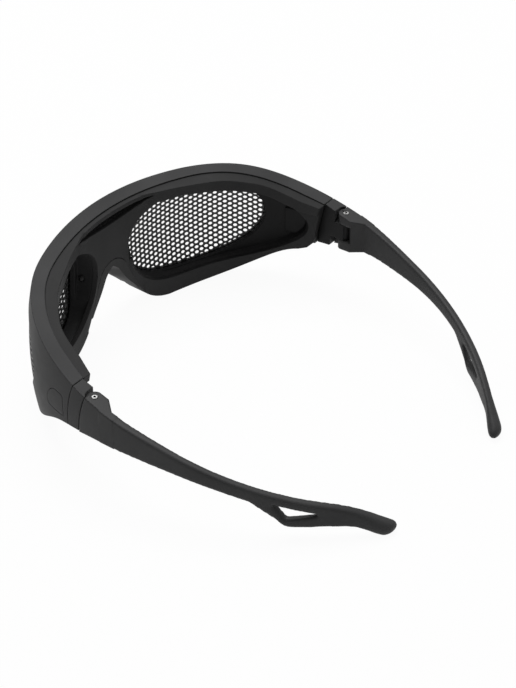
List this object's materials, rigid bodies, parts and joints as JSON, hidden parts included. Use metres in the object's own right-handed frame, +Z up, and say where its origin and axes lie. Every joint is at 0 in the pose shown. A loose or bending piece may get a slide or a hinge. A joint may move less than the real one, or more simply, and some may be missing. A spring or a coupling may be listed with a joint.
{
  "type": "mesh safety goggles",
  "caption": "Wrap-round eye guard with curved punched steel mesh lenses in a two-part moulded frame, a soft nose piece and folding temples on plug-in hinge blocks",
  "frame": {"origin": "middle of the goggles' box on the table under them", "axes": "+X towards the wearer's left, +Y from the lenses back to the temple tips, +Z up; the goggles stand as they are worn"},
  "size_m": [0.1526, 0.1641, 0.0529],
  "materials": {
    "frame_plastic": "fine matte moulded texture",
    "soft_rubber": "smooth matte",
    "coated_steel": "satin black coating",
    "pin_steel": "bright"
  },
  "bodies": {
    "frame": {"front_frame": "frame_plastic", "inner_frame": "frame_plastic", "nose_saddle": "soft_rubber", "mesh_lens_left": "coated_steel", "mesh_lens_right": "coated_steel", "hinge_block_left": "frame_plastic", "hinge_block_right": "frame_plastic"},
    "temple_left_body": {"temple_left": "frame_plastic", "hinge_pin_left": "pin_steel"},
    "temple_right_body": {"temple_right": "frame_plastic", "hinge_pin_right": "pin_steel"},
    "button_left_body": {"release_button_left": "frame_plastic"},
    "button_right_body": {"release_button_right": "frame_plastic"}
  },
  "joints": [
    {"name": "temple_left_fold", "type": "hinge", "parent": "frame", "child": "temple_left_body", "pos_m": [0.0725, -0.01595, 0.02855], "axis": [0, 0, 1], "range_deg": [0, 90]},
    {"name": "temple_right_fold", "type": "hinge", "parent": "frame", "child": "temple_right_body", "pos_m": [-0.0725, -0.01595, 0.02855], "axis": [0, 0, -1], "range_deg": [0, 65]},
    {"name": "release_button_left_press", "type": "slide", "parent": "frame", "child": "button_left_body", "axis": [-0.9608, 0.2773, 0], "range_m": [0, 0.001], "stiffness_N_per_m": 800},
    {"name": "release_button_right_press", "type": "slide", "parent": "frame", "child": "button_right_body", "axis": [0.9608, 0.2773, 0], "range_m": [0, 0.001], "stiffness_N_per_m": 800}
  ]
}
